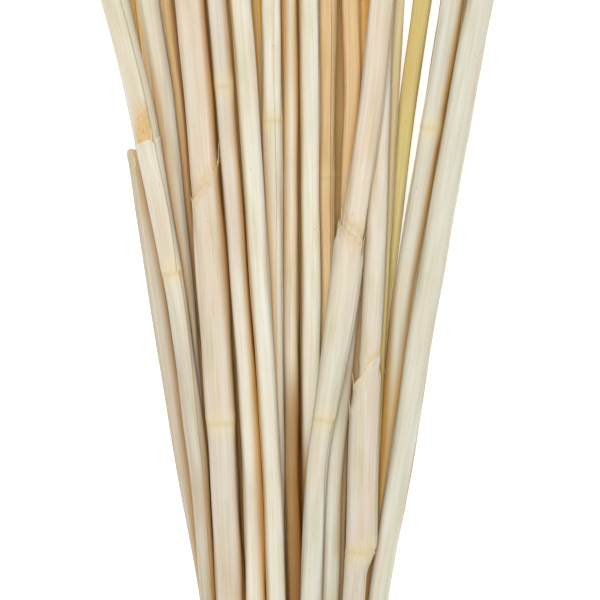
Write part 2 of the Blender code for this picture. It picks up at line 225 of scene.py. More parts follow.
class Line:
    """A stalk's centre line and radius, read off its CAD node."""

    def __init__(self, node, sheath):
        ends = mesh_edges(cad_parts[node])
        self.start, self.end = ends[..., 1].min(), ends[..., 1].max()
        inside = np.arange(self.start + LINE_MARGIN, self.end - LINE_MARGIN, LINE_STEP)
        rows = np.array([self.section(*ends, level) for level in inside])
        rows[:, 0] -= sheath_shift(sheath, inside) * sheath_cover(sheath, inside)
        pad = int(3 * LINE_BLUR / LINE_STEP)
        before = rows[0] + (rows[0] - rows[3]) / 3 * np.arange(pad, 0, -1)[:, None]
        after = rows[-1] + (rows[-1] - rows[-4]) / 3 * np.arange(1, pad + 1)[:, None]
        rows = np.vstack([before, rows, after])
        self.levels = inside[0] + LINE_STEP * np.arange(-pad, len(inside) + pad)
        self.x, self.z = blurred(rows[:, :2], pad).T
        sway = np.hypot(np.gradient(self.x, self.levels), np.gradient(self.z, self.levels))
        area = rows[:, 2] / np.sqrt(1 + sway**2)
        self.radius = np.sqrt(np.clip(area, 0.1, None) / OCTAGON_AREA)

    @staticmethod
    def section(one, other, level):
        """Middle across, middle height and area of the node where it crosses a level."""
        cut = (one[:, 1] - level) * (other[:, 1] - level) < 0
        share = (level - one[cut, 1]) / (other[cut, 1] - one[cut, 1])
        ring = (one[cut] + share[:, None] * (other[cut] - one[cut]))[:, [0, 2]]
        middle = ring.mean(0)
        x, z = (ring - middle).T
        order = np.argsort(np.arctan2(z, x))
        x, z = x[order], z[order]
        next_x, next_z = np.roll(x, -1), np.roll(z, -1)
        cross = x * next_z - next_x * z
        area = cross.sum() / 2
        return (middle[0] + ((x + next_x) * cross).sum() / (6 * area),
                middle[1] + ((z + next_z) * cross).sum() / (6 * area), area)

    def at(self, levels):
        """Centres, and the directions to the stalk's right, along it and up, at levels of any shape."""
        x, z = (np.interp(levels, self.levels, values) for values in (self.x, self.z))
        lean_x, lean_z = (np.interp(levels, self.levels, np.gradient(values, self.levels))
                          for values in (self.x, self.z))
        along = np.stack([lean_x, np.ones_like(lean_x), lean_z], -1)
        along /= np.linalg.norm(along, axis=-1, keepdims=True)
        up = np.array([0.0, 0.0, 1.0]) - along * along[..., 2:]
        up /= np.linalg.norm(up, axis=-1, keepdims=True)
        return np.stack([x, levels, z], -1), np.cross(along, up), up

    def around(self, levels, angles, reach, aside=0.0, rise=0.0, wide=WIDE):
        """Points of a slightly flattened section, reach from the centre line moved aside and up."""
        centre, right, up = self.at(levels)
        points = centre + (reach * np.cos(angles) * wide + aside)[..., None] * right
        points += (reach * np.sin(angles) * LOW + rise)[..., None] * up
        return points

    def radius_at(self, levels):
        return np.interp(levels, self.levels, self.radius)


class Shape:
    """The vertices, faces and surface values of one piece, gathered grid by grid."""

    def __init__(self):
        self.points, self.faces, self.count = [], [], 0
        self.values = {"grain": [], "tint": [], "mark": [], "knee": []}

    def add(self, points, grain, tint, mark=0.0, knee=NO_JOINT, looped=False, capped=False):
        """A grid of rows by columns of points, closed round its columns."""
        rows, columns = points.shape[:2]
        numbers = self.count + np.arange(rows * columns).reshape(rows, columns)
        if looped:
            numbers = np.vstack([numbers, numbers[:1]])
        right = np.roll(numbers, -1, 1)
        quads = np.stack([numbers[:-1], numbers[1:], right[1:], right[:-1]], -1)
        self.faces += quads.reshape(-1, 4).tolist()
        if capped:
            self.faces += [numbers[0].tolist(), numbers[-1][::-1].tolist()]
        self.count += rows * columns
        self.points.append(points.reshape(-1, 3))
        values = (("grain", grain, 3), ("tint", tint, 3), ("mark", mark, 1), ("knee", knee, 1))
        for name, value, width in values:
            shape = (rows, columns, width) if width > 1 else (rows, columns)
            self.values[name].append(np.broadcast_to(value, shape).reshape(rows * columns, -1))

    def build(self, name, made_of):
        """The piece as an object in the scene."""
        points = np.vstack(self.points)
        points[:, 2] = np.maximum(points[:, 2], FLOOR_CLEARANCE)
        points[:, 1] += TIE_LEVEL
        mesh = bpy.data.meshes.new(name)
        mesh.from_pydata((points * MM).tolist(), [], self.faces)
        for value_name, kind in (("grain", "FLOAT_VECTOR"), ("mark", "FLOAT"), ("knee", "FLOAT")):
            data = np.vstack(self.values[value_name]).astype(np.float32).ravel()
            layer = mesh.attributes.new(value_name, kind, "POINT")
            layer.data.foreach_set("vector" if kind == "FLOAT_VECTOR" else "value", data)
        tint = np.vstack(self.values["tint"])
        tint = np.hstack([tint, np.ones((len(tint), 1))]).astype(np.float32).ravel()
        mesh.attributes.new("tint", "FLOAT_COLOR", "POINT").data.foreach_set("color", tint)
        mesh.polygons.foreach_set("use_smooth", [True] * len(mesh.polygons))
        mesh.materials.append(made_of)
        mesh.update()
        obj = bpy.data.objects.new(name, mesh)
        bpy.context.scene.collection.objects.link(obj)
        return obj


def wave(rng, levels, length, strength):
    """A slow random wander along a stalk."""
    phases = rng.uniform(0, TURN, 3)
    return strength * sum(np.sin(TURN * levels / (length * scale) + phase) / 1.7
                          for scale, phase in zip((1.0, 0.57, 0.31), phases))


def ragged(rng, angles, strength, count=9):
    """A random torn outline round a stalk: slow swings and sharp teeth."""
    line = np.zeros_like(angles)
    for turns in range(1, count):
        line += rng.normal(0, 1) / turns**0.7 * np.cos(turns * angles + rng.uniform(0, TURN))
    teeth = rng.normal(0, 0.35, 24)
    line += np.interp(angles % TURN, np.linspace(0, TURN, 25), np.append(teeth, teeth[0]))
    return strength * line


class Skin:
    """The uneven surface of a stalk: soft facets, furrows and fine ribs, as a share of its radius."""

    def __init__(self, rng, detailed):
        sides = int(rng.choice([4, 4, 5, 6]))
        flat_on_top = math.pi / 2 + math.pi / sides + rng.uniform(-0.22, 0.22)
        self.facets = [(sides, 0.95 / sides**2, flat_on_top, rng.integers(1 << 30)),
                       (2, 0.015, rng.uniform(0, TURN), rng.integers(1 << 30)),
                       (3, 0.012, rng.uniform(0, TURN), rng.integers(1 << 30))]
        count = 7 if detailed else 2
        self.furrows = [(rng.uniform(0, TURN), rng.uniform(0.012, 0.034), rng.uniform(0.09, 0.20),
                         rng.integers(1 << 30)) for _ in range(count)]
        self.ribs = rng.uniform(0, TURN, 2)

    def at(self, angles, levels):
        share = np.ones_like(angles)
        for turns, strength, phase, seed in self.facets:
            drift = wave(np.random.default_rng(seed), levels, 150, 0.25)
            share += strength * np.cos(turns * (angles - phase - drift))
        for place, depth, width, seed in self.furrows:
            rng = np.random.default_rng(seed)
            middle = place + wave(rng, levels, 120, 0.12)
            present = eased(wave(rng, levels, 70, 1.0), -0.6, 0.5)
            away = (angles - middle + math.pi) % TURN - math.pi
            share -= depth * present * np.exp(-((away / width) ** 2))
        fine, coarse = self.ribs
        share += 0.0035 * np.cos(14 * angles + fine) + 0.0025 * np.cos(9 * angles + coarse)
        return share


def grain_of(number, angles, levels, radius):
    """Seamless coordinates on a stalk, in millimetres, different for every stalk."""
    x = radius * np.cos(angles) + GRAIN_STEP[0] * number
    y = radius * np.sin(angles) + GRAIN_STEP[1] * number
    return np.stack([x, y, levels], -1)


def knee_of(look, levels):
    """Distance along the stalk from its nearest growth joint."""
    if not look.joints:
        return np.full_like(levels, NO_JOINT)
    away = np.stack([levels - joint for joint in look.joints])
    nearest = np.abs(away).argmin(0)
    return np.take_along_axis(away, nearest[None], 0)[0]


def tint_of(rng, look, angles, levels):
    """The stalk's colour, drifting from its foot's to its head's, paler and darker along its grain."""
    share = eased(levels + wave(rng, levels, 130, 0.17 * np.ptp(look.turns)), *look.turns)[..., None]
    tint = look.foot * (1 - share) + look.head * share
    # a middle colour of its own; on reed 14 this is painted shade
    if look.between is not None:
        middle = (eased(levels, 42, 66) * (1 - eased(levels, 110, 165)))[..., None]
        tint = tint * (1 - middle) + look.between * middle
    streak = 1 + 0.025 * np.sin(3 * angles + wave(rng, levels, 200, 1.0)) * np.sin(levels / 37 + angles)
    return tint * streak[..., None]


def with_crevice_shade(tint, number, points, lines):
    """A reed's tint with painted shade: more golden and darker where another reed is close."""
    nearest = np.full(points.shape[:2], math.inf)
    level = points[..., 1]
    for other, line in enumerate(lines, 1):
        if other == number:
            continue
        x, z = (np.interp(level, line.levels, values) for values in (line.x, line.z))
        away = np.hypot(points[..., 0] - x, points[..., 2] - z) - line.radius_at(level)
        away[(level < line.start) | (level > line.end)] = math.inf
        nearest = np.minimum(nearest, away)
    share = (1 - eased(nearest, *CREVICE_SHADE_REACH))[..., None]
    return tint * (1 - share * (1 - CREVICE_SHADE))


def ring_levels(line, look, step):
    """Levels of a stalk's rings: evenly spread, and close together at its joints and torn places."""
    low, high = line.start + END_MARGIN, line.end - END_MARGIN
    levels = [np.arange(low, high, step)]
    if step == RING_STEP:
        levels += [joint + JOINT_RINGS for joint in look.joints]
        if look.sheath:
            mouth = look.sheath.middle
            levels.append(np.arange(mouth - MOUTH_BELOW, mouth + MOUTH_ABOVE, MOUTH_STEP))
    levels = np.sort(np.concatenate(levels))
    levels = levels[(levels > low - 0.1) & (levels < high + 0.1)]
    return levels[np.append(True, np.diff(levels) > LEAST_STEP)]


def stalk_rows(levels, line):
    """The rows of a closed hollow stalk: level, share of the radius, and how much of the uneven cut it
    follows, from the wall across its foot round the outside to the wall across its head."""
    def end(at, towards):
        deep = at + towards * HOLLOW_DEPTH
        wall = [(deep + towards * 0.7, 0.02, 0.0), (deep + towards * 0.5, HOLLOW * 0.6, 0.0),
                (deep, HOLLOW * 0.98, 0.0)]
        hole = [(deep - towards * 3, HOLLOW, 0.2), (at + towards * 1.2, HOLLOW, 0.8),
                (at + towards * 0.2, HOLLOW + 0.01, 1.0)]
        rim = [(at, HOLLOW + 0.06, 1.0), (at, 0.80, 1.0), (at + towards * 0.04, 0.95, 1.0),
               (at + towards * 0.28, 0.995, 1.0), (at + towards * 0.8, 1.0, 0.9)]
        return wall + hole + rim
    rows = end(line.start, 1) + [(level, 1.0, 0.0) for level in levels] + end(line.end, -1)[::-1]
    return np.array(rows).T


def uneven_cuts(rng, line, levels, cut, angles, broken):
    """The levels of a stalk's points, once both its ends are cut a little slanting and rough."""
    slope, way = rng.uniform(0.02, 0.12, 2), rng.uniform(0, TURN, 2)
    rough = [ragged(rng, angles, 0.10), ragged(rng, angles, 0.10)]
    if broken:
        slope[1], rough[1] = 0.2, ragged(rng, angles, 0.55)
    radius = line.radius_at(levels)[:, None]
    foot, head = (rough[end] + slope[end] * radius * np.cos(angles - way[end]) for end in (0, 1))
    shift = np.where((levels > (line.start + line.end) / 2)[:, None], head, foot)
    at = levels[:, None] + cut[:, None] * shift
    near_end = np.minimum(at - line.start, line.end - at)
    return at + np.where(cut[:, None] > 0, 0, bump_at(near_end, 0, 6) * shift)


def look_of(number, rng):
    """A seen reed's own look, or for a hidden reed a golden one that is partly its colour and partly
    painted shade.
    """
    shade = rng.uniform(0.86, 1.04)
    return LOOKS.get(number) or Look(FILL_GOLD_AND_SHADE * shade, FILL_GOLD_AND_SHADE * shade, rng.uniform(0, 360), 0.05)


def reed(number, lines):
    """A stalk with all that grows on it."""
    rng = np.random.default_rng(REED_SEED + number)
    look = look_of(number, rng)
    skin = Skin(rng, number <= SEEN_REEDS)
    shape = Shape()
    add_stalk(shape, number, lines, look, skin, rng)
    if look.sheath:
        add_sheath(shape, number, lines, look, skin, rng)
    add_splinters(shape, number, lines[number - 1], look)
    return shape


def add_stalk(shape, number, lines, look, skin, rng):
    """The stalk itself. Its first and last columns share an angle, and the step between them is the
    edge of the leaf sheath that is rolled round it."""
    line, sheath, seen = lines[number - 1], look.sheath, number <= SEEN_REEDS
    columns, step = (AROUND, RING_STEP) if seen else (AROUND_HIDDEN, RING_STEP_HIDDEN)
    levels, share, cut = stalk_rows(ring_levels(line, look, step), line)
    turned = np.linspace(0, TURN, columns if look.lip else columns + 1)[:columns]
    edge = math.radians(look.margin) + wave(rng, levels, 260, 0.10)
    angles = edge[:, None] + turned[None]
    at = uneven_cuts(rng, line, levels, cut, angles, number == BROKEN_REED)

    hidden, aside = np.zeros_like(at), look.aside
    if sheath:
        cover, inside = sheath_cover(sheath, at), eased(at, sheath.start, sheath.start + 3)
        hidden = inside * cover * sheath.wider / 2
        aside = (1 - inside) * cover * sheath_shift(sheath, at)
    body = (line.radius_at(at) - hidden) * skin.at(angles, at) * SLACK
    lip = look.lip * (1 - turned / TURN)[None] - look.lip / 2
    for joint in look.joints:
        body += 0.05 * bump_at(at, joint, 0.6) - 0.05 * bump_at(at, joint - 1.4, 0.8)
    body = (body + lip) * share[:, None]
    points = line.around(at, angles, body, aside, 0.35 * hidden, look.wide)

    tint = tint_of(rng, look, angles, at)
    inner = np.clip((0.9 - share) / 0.1, 0, 1)[:, None, None]
    tint = tint * (1 - inner) + PITH * inner
    if look.lip:
        pale = (bump_at(turned, 0, 0.16) * 0.6)[None, :, None] * (1 - inner)
        tint = tint * (1 - pale) + LIP * pale
    # painted shade where other reeds are close
    tint = with_crevice_shade(tint, number, points, lines)
    grain = grain_of(number, angles, at, line.radius_at(levels)[:, None])
    shape.add(points, grain, tint, marks_on(number, angles, at), knee_of(look, at), capped=True)


def marks_on(number, angles, levels):
    """How torn or stained a stalk is, from 0 to 1: the scars beside the places where leaves came off, and
    a band above each torn sheath mouth that is partly stain and partly painted shade.
    """
    mark = np.zeros_like(levels)
    if number == SCARRED_REED:
        faded = 1 - np.clip((levels - SCAR_LEVEL) / SCAR_LENGTH, 0, 1)
        begun = eased(levels, SCAR_LEVEL - 3.5, SCAR_LEVEL)
        mark += 0.95 * begun * faded**0.7 * bump_at(angles, SCAR_SIDE, 1.4)
    if number == BROKEN_REED:
        mark += 0.35 * eased(levels, 156, 163)
    # a band just above the sheath's mouth: partly stain, partly painted shade at the step from sheath to
    # stalk
    if number in STAINED_AND_SHADED_MOUTHS:
        ends = LOOKS[number].sheath
        above = levels - ends.middle - ends.slant * np.cos(angles)
        mark += 0.45 * eased(above, -1.5, 0.3) * (1 - eased(above, 1.0, 6.0))
    return np.clip(mark, 0, 1)


def sheath_mouth(rng, look, angles):
    """The level of a sheath's mouth at every angle: slanting, ragged, and split at its edge."""
    ends = look.sheath
    mouth = ends.middle + ends.slant * np.cos(angles) + ragged(rng, angles, 0.28 * ends.torn, 14)
    split = (angles - math.radians(look.margin) + math.pi) % TURN - math.pi
    return mouth - 3.5 * ends.torn * bump_at(split, 0, 0.12)


def sheath_reach(line, look, skin, angles, at, room):
    """How far a sheath's outside is from its stalk's centre line. room is the way left to its mouth."""
    ends = look.sheath
    swell = eased(at, ends.start - SHEATH_ROOT, ends.start + SHEATH_ROOT)
    bare = line.radius_at(at) - sheath_cover(ends, at) * ends.wider / 2
    bulge = max(ends.wider / 2 - SHEATH_THICK, 0) * sheath_growth(ends, at)
    thick = SHEATH_THICK + bulge * (0.35 + 0.65 * eased(room, 0.5, 9))
    curl = 0.30 * ends.torn * bump_at(room, 0, 1.6) * (0.5 + 0.5 * np.sin(3 * angles + 1.0))
    return bare * skin.at(angles, at) + thick * swell + curl - 0.25 * (1 - swell)


def add_sheath(shape, number, lines, look, skin, rng):
    """The leaf sheath rolled round a stalk: a thin tube that grows out of it and ends in a torn mouth."""
    line, ends = lines[number - 1], look.sheath
    turned = np.linspace(0, TURN, AROUND + 8)
    # Its rings, as shares of its length: up its outside, close together at both ends, and down inside.
    outer = np.concatenate([[0.0, 0.01, 0.02, 0.03], np.linspace(0.045, 0.80, 34),
                            np.linspace(0.81, 0.995, 30)])
    inner = np.array([0.992, 0.97, 0.9, 0.7, 0.4, 0.1])
    share = np.concatenate([outer, inner])
    edge = math.radians(look.margin) + wave(rng, ends.start + outer * 60, 200, 0.15)
    edge = np.concatenate([edge, np.interp(inner, outer, edge)])
    angles = edge[:, None] + turned[None]
    mouth = sheath_mouth(rng, look, angles)
    at = ends.start - SHEATH_ROOT + (mouth - ends.start + SHEATH_ROOT) * share[:, None]
    room = mouth - at

    body = sheath_reach(line, look, skin, angles, at, room)
    body += 0.5 * look.lip - look.lip * turned[None] / TURN
    body = body * SLACK
    inside = np.repeat([0.0, 1.0], [len(outer), len(inner)])
    body -= inside[:, None] * np.minimum(0.14, body * 0.1)
    aside = sheath_shift(ends, at) * sheath_growth(ends, at)
    points = line.around(at, angles, body, aside, wide=look.wide)

    tint = tint_of(rng, look, angles, at)
    rim = (0.75 * bump_at(room, 0, 0.9))[..., None]
    seam = (0.7 * bump_at(turned, 0, 0.14))[None, :, None]
    pale = np.clip(rim + seam, 0, 0.85)
    tint = tint * (1 - pale) + LIP * pale
    # painted shade where other reeds are close
    tint = with_crevice_shade(tint, number, points, lines)
    mark = np.clip(0.35 * ends.torn * bump_at(room, 1.5, 2.2), 0, 0.4)
    grain = grain_of(number + SHEATH_GRAIN, angles, at, body)
    shape.add(points, grain, tint, mark, knee_of(look, at), looped=True)


# By reed: each splinter's angle, the levels of its root and tip, its width, and how far its tip
# stands out.
SPLINTERS = {
    1: [(40, 170.5, 176.5, 0.5, 0.4), (70, 168.0, 171.5, 0.45, 0.4)],
    2: [(150, 160.0, 165.0, 0.6, 0.4), (100, 160.5, 164.0, 0.5, 0.3), (45, 160.0, 163.5, 0.5, 0.3)],
    3: [(18, 160.5, 167.0, 0.7, 0.6), (34, 159.0, 163.5, 0.6, 0.7), (62, 156.0, 161.5, 0.6, 0.8),
        (78, 154.5, 158.5, 0.5, 0.6), (112, 151.0, 154.5, 0.5, 0.5), (150, 148.0, 151.5, 0.5, 0.4)],
    4: [(12, 62.0, 67.4, 0.7, 1.0)],
    6: [(158, 136.5, 147.2, 0.75, 1.1), (140, 141.0, 146.0, 0.5, 0.7), (100, 139.5, 143.0, 0.5, 0.5),
        (60, 137.5, 140.8, 0.45, 0.4)],
    8: [(160, 81.5, 89.5, 0.6, 0.9), (138, 80.5, 87.5, 0.55, 0.6), (150, 92.5, 98.0, 0.5, 0.6),
        (70, 100.5, 104.0, 0.4, 0.4)],
}
# A splinter's section: across, in halves of its width, and out, in thicknesses.
BLADE = np.array([[-1, 0], [-0.5, 0.5], [0.5, 0.5], [1, 0], [0.5, -0.5], [-0.5, -0.5]])
SPLINTER_THICK = 0.13


def add_splinters(shape, number, line, look):
    """Torn strips of sheath that stand up from a stalk, each a thin tapered blade."""
    for angle, root, tip, width, out in SPLINTERS.get(number, ()):
        share = np.linspace(0, 1, 14)[:, None]
        level = root + (tip - root) * share + np.zeros(len(BLADE))
        half = width / 2 * (1 - share**2) ** 0.5 * (0.8 + 0.2 * np.sin(9 * share + number)) + 0.03
        reach = line.radius_at(level) * SLACK
        lean = math.radians(angle) + 0.12 * share**2 * math.sin(5.0 * number + angle)
        lean = lean + BLADE[:, 0] * half / reach
        reach = reach + 0.06 + out * share**1.8 + SPLINTER_THICK * BLADE[:, 1]
        points = line.around(level, lean, reach)
        tint = look.head * 0.45 + LIP * 0.55
        grain = grain_of(number + SPLINTER_GRAIN, lean, level, reach)
        shape.add(points, grain, tint, 0.25 * (1 - share), capped=True)


# ---------------------------------------------------------------- materials

class Nodes:
    """A material's node tree, with short ways to add and join nodes."""

    def __init__(self, name):
        self.material = bpy.data.materials.new(name)
        self.material.use_nodes = True
        self.tree = self.material.node_tree
        self.shader = self.tree.nodes["Principled BSDF"]

    def add(self, kind, **settings):
        node = self.tree.nodes.new(kind)
        for name, value in settings.items():
            setattr(node, name, value)
        return node

    def join(self, source, target):
        self.tree.links.new(source, target)

    def value(self, name, output="Fac"):
        return self.add("ShaderNodeAttribute", attribute_name=name).outputs[output]

    def stretched(self, scale_across, scale_along, detail=2.0, roughness=0.5):
        """Noise drawn out along the grain. The scales are in features per millimetre."""
        mapping = self.add("ShaderNodeMapping")
        mapping.inputs["Scale"].default_value = (scale_across, scale_across, scale_along)
        self.join(self.value("grain", "Vector"), mapping.inputs["Vector"])
        noise = self.add("ShaderNodeTexNoise")
        noise.inputs["Scale"].default_value = 1.0
        noise.inputs["Detail"].default_value = detail
        noise.inputs["Roughness"].default_value = roughness
        self.join(mapping.outputs["Vector"], noise.inputs["Vector"])
        return noise.outputs["Fac"]

    def math(self, operation, one, other=None, clamp=False):
        node = self.add("ShaderNodeMath", operation=operation, use_clamp=clamp)
        for value, socket in zip((one, other), node.inputs):
            if value is None:
                continue
            if isinstance(value, (int, float)):
                socket.default_value = value
            else:
                self.join(value, socket)
        return node.outputs["Value"]

    def ramp(self, value, stops):
        """A number or colour read off between stops of (place, grey or colour)."""
        node = self.add("ShaderNodeValToRGB")
        marks = node.color_ramp.elements
        while len(marks) < len(stops):
            marks.new(0.5)
        for mark, (place, colour) in zip(marks, stops):
            mark.position = place
            mark.color = (*colour, 1.0) if hasattr(colour, "__len__") else (colour, colour, colour, 1.0)
        self.join(value, node.inputs["Fac"])
        return node.outputs["Color"]

    def blend(self, share, one, other, kind="MIX"):
        node = self.add("ShaderNodeMix", data_type="RGBA", blend_type=kind)
        sockets = [s for s in node.inputs if s.type == "RGBA"]
        factor = next(s for s in node.inputs if s.type == "VALUE")
        for value, socket in ((share, factor), (one, sockets[0]), (other, sockets[1])):
            if isinstance(value, (int, float)):
                socket.default_value = value
            elif isinstance(value, (tuple, np.ndarray)):
                socket.default_value = (*value, 1.0)
            else:
                self.join(value, socket)
        return next(s for s in node.outputs if s.type == "RGBA")

    def bump(self, height, strength, distance):
        """Small roughness, distance millimetres deep."""
        node = self.add("ShaderNodeBump")
        node.inputs["Strength"].default_value = strength
        node.inputs["Distance"].default_value = distance * MM
        self.join(height, node.inputs["Height"])
        self.join(node.outputs["Normal"], self.shader.inputs["Normal"])


def with_joints(made, colour, streaks):
    """A reed's colour with its growth joints: a yellow-green zone, with a thin brown line across it."""
    knee = made.value("knee")
    wobble = made.math("MULTIPLY", made.math("SUBTRACT", streaks, 0.5), 1.6)
    near = made.math("ABSOLUTE", made.math("ADD", knee, wobble))
    zone = made.ramp(made.math("DIVIDE", near, 6.0), [(0.0, 0.7), (0.45, 0.35), (1.0, 0.0)])
    colour = made.blend(made.math("MULTIPLY", zone, 0.7), colour, BAND)
    ring = made.ramp(made.math("DIVIDE", near, 1.2), [(0.0, 0.25), (0.5, 0.12), (1.0, 0.0)])
    return made.blend(ring, colour, paint(222, 192, 140), "MULTIPLY")


def with_stains(made, colour):
    """A reed's colour with its torn and stained places and the partly painted shade above its torn sheath
    mouths, orange-brown and breaking up into darker cracks, and then those cracks."""
    mark = made.value("mark")
    patchy = made.stretched(0.9, 0.35, 4.0, 0.7)
    stained = made.math("ADD", made.math("SUBTRACT", patchy, 0.62), mark)
    stained = made.math("MULTIPLY", stained, 2.2, clamp=True)
    stained = made.math("MULTIPLY", stained, made.math("MULTIPLY", mark, 1.6, clamp=True))
    colour = made.blend(stained, colour, SCAR)
    cracks = made.stretched(1.8, 0.5, 5.0, 0.75)
    cracked = made.math("MULTIPLY", made.ramp(cracks, [(0.56, 0.0), (0.66, 1.0)]), stained)
    return made.blend(made.math("MULTIPLY", cracked, 0.6), colour, paint(156, 110, 58)), cracked


def reed_material(name, roughness):
    """Bleached straw, with colour, streaks, joints and stains all drawn out along its grain."""
    made = Nodes(name)
    colour = made.value("tint", "Color")
    broad = made.stretched(0.55, 0.012, 2.0)
    streaks = made.stretched(2.2, 0.03, 3.0)
    fibres = made.stretched(7.0, 0.10, 2.0)
    blush = made.stretched(0.22, 0.035, 1.0)
    green = made.stretched(0.30, 0.05, 2.0)
    specks = made.stretched(1.6, 0.9, 2.0, 0.6)
    for share, shade in (
            (made.ramp(blush, [(0.42, 0.0), (0.68, 0.55)]), paint(250, 236, 224)),
            (made.ramp(green, [(0.50, 0.0), (0.72, 0.55)]), paint(236, 240, 214)),
            (1.0, made.ramp(broad, [(0.3, paint(248, 245, 238)), (0.7, WHITE)])),
            (1.0, made.ramp(streaks, [(0.3, paint(246, 241, 231)), (0.62, WHITE)])),
            (1.0, made.ramp(fibres, [(0.3, 0.95), (0.6, 1.0)]))):
        colour = made.blend(share, colour, shade, "MULTIPLY")
    colour = with_joints(made, colour, streaks)
    colour, cracked = with_stains(made, colour)
    spotted = made.ramp(specks, [(0.70, 0.0), (0.76, 0.6)])
    colour = made.blend(spotted, colour, paint(160, 132, 92))
    made.join(colour, made.shader.inputs["Base Color"])

    rough = made.ramp(streaks, [(0.3, roughness + 0.08), (0.7, roughness - 0.06)])
    made.join(rough, made.shader.inputs["Roughness"])
    height = made.math("ADD", made.math("MULTIPLY", fibres, 0.5), made.math("MULTIPLY", streaks, 0.5))
    height = made.math("SUBTRACT", height, made.math("MULTIPLY", cracked, 0.8))
    made.bump(height, 0.44, 0.12)
    made.shader.inputs["Specular IOR Level"].default_value = 0.22
    return made.material


def twine_material():
    """Brown jute."""
    made = Nodes("twine")
    fibres = made.stretched(9.0, 0.6, 3.0, 0.7)
    patches = made.stretched(0.8, 0.15, 2.0)
    shade = made.ramp(fibres, [(0.3, paint(176, 150, 118)), (0.65, WHITE)])
    colour = made.blend(1.0, made.value("tint", "Color"), shade, "MULTIPLY")
    patched = made.ramp(patches, [(0.45, 0.0), (0.7, 0.5)])
    colour = made.blend(patched, colour, paint(226, 208, 178), "MULTIPLY")
    made.join(colour, made.shader.inputs["Base Color"])
    made.bump(fibres, 0.7, 0.2)
    made.shader.inputs["Roughness"].default_value = 0.85
    made.shader.inputs["Specular IOR Level"].default_value = 0.2
    return made.material


# ---------------------------------------------------------------- the tie

TWINE_RADIUS = 1.0
PLY_RADIUS, PLY_TWIST = 0.54, 6.5  # one of the twine's two strands, and the length of one full twist
TWINE_GAP, TWINE_STEP = 0.12, 0.45  # between twine and reeds, and between the points of its path
TURNS, PITCH = 3, 2.35
KNOT_ROOM = 9  # how far from both ends of the turns the knot takes their place
HAIRS, HAIR_RADIUS = 90, 0.045
TWINE_END = [(3.5, 0.8, 1.7), (7.0, 2.6, 1.2), (10.0, 5.4, 0.5)]  # out, along, above the turns
# Half of the knot, from the turn that comes into it: out to its own side, along, and up from the turns.
BIGHT = [(7.5, -3.3, 0.5), (4.6, -2.8, 1.5), (2.2, -2.6, 1.9), (0.0, -2.7, 2.5), (-2.1, -2.4, 3.3),
         (-3.2, -0.9, 3.4), (-2.1, 0.7, 3.3), (0.0, 0.9, 2.5), (2.0, 0.85, 1.9)]
TWINE_BROWN = paint(186, 150, 104)


def smooth_path(points, step):
    """A curve through points, at even steps along it."""
    points = np.asarray(points, float)
    ends = np.vstack([2 * points[0] - points[1], points, 2 * points[-1] - points[-2]])
    a, b, c, d = ends[:-3], ends[1:-2], ends[2:-1], ends[3:]
    t = np.linspace(0, 1, 12, endpoint=False)[:, None, None]
    curve = 2 * b + (c - a) * t + (2 * a - 5 * b + 4 * c - d) * t**2 + (3 * b - a - 3 * c + d) * t**3
    curve *= 0.5
    curve = np.vstack([curve.transpose(1, 0, 2).reshape(-1, 3), points[-1:]])
    run = np.append(0, np.cumsum(np.linalg.norm(np.diff(curve, axis=0), axis=1)))
    even = np.linspace(0, run[-1], int(run[-1] / step) + 1)
    return np.stack([np.interp(even, run, column) for column in curve.T], 1)


def turns_of_twine(lines):
    """The twine's path round the bunch, pulled tight over the outermost reeds."""
    path = []
    for turned in np.radians(np.arange(0, 360 * TURNS + 0.1, 2.0)):
        angle = math.pi / 2 + turned
        out = np.array([math.cos(angle), math.sin(angle)])
        along = PITCH * (turned / TURN - TURNS / 2)
        places = np.array([(np.interp(along, line.levels, line.x), np.interp(along, line.levels, line.z),
                            line.radius_at(along)) for line in lines])
        reach = places[:, 2] + TWINE_GAP + TWINE_RADIUS
        touched = np.argmax(places[:, :2] @ out + reach)
        place = places[touched, :2] + reach[touched] * out
        path.append((place[0], along, place[1]))
    path = np.array(path)
    kept = np.append(True, np.linalg.norm(np.diff(path, axis=0), axis=1) > 0.25)
    return path[kept]


def strand(shape, path, number, radius, out, columns=12, taper=0.0):
    """A twisted strand of fibres along a path. out gives a direction that is never along the path."""
    along = np.gradient(path, axis=0)
    along /= np.linalg.norm(along, axis=1, keepdims=True)
    side = np.cross(along, out)
    side /= np.linalg.norm(side, axis=1, keepdims=True)
    out = np.cross(side, along)
    run = np.append(0, np.cumsum(np.linalg.norm(np.diff(path, axis=0), axis=1)))
    angles = np.linspace(0, TURN, columns, endpoint=False)[None] + 0 * run[:, None]
    body = radius * (1 + 0.07 * np.cos(4 * angles + TURN * run[:, None] / 2.4))
    body = body * (1 - taper * (run / run[-1])[:, None] ** 3)
    points = path[:, None] + body[..., None] * (np.cos(angles)[..., None] * out[:, None]
                                                - np.sin(angles)[..., None] * side[:, None])
    grain = np.stack([np.cos(angles) * radius + 31 * number, np.sin(angles) * radius,
                      run[:, None] + 0 * angles], -1)
    shape.add(points, grain, TWINE_BROWN, capped=True)


def knotted_path(turns):
    """The path of the whole twine: its turns, with half of the knot and a free end at both their ends."""
    knot = np.array([turns[0][0], 0.0, turns[0][2]])
    from_ends = [np.linalg.norm(turns - end, axis=1) for end in (turns[0], turns[-1])]
    trimmed = turns[np.min(from_ends, axis=0) > KNOT_ROOM]
    halves = []
    for side in (-1, 1):
        flip = np.array([side, side, 1])
        bight = [knot + flip * np.array([out, -along, up]) for out, along, up in BIGHT]
        free = [knot + flip * np.array(place) for place in TWINE_END]
        halves.append(bight + free)
    return smooth_path([*halves[0][::-1], *trimmed, *halves[1]], TWINE_STEP)


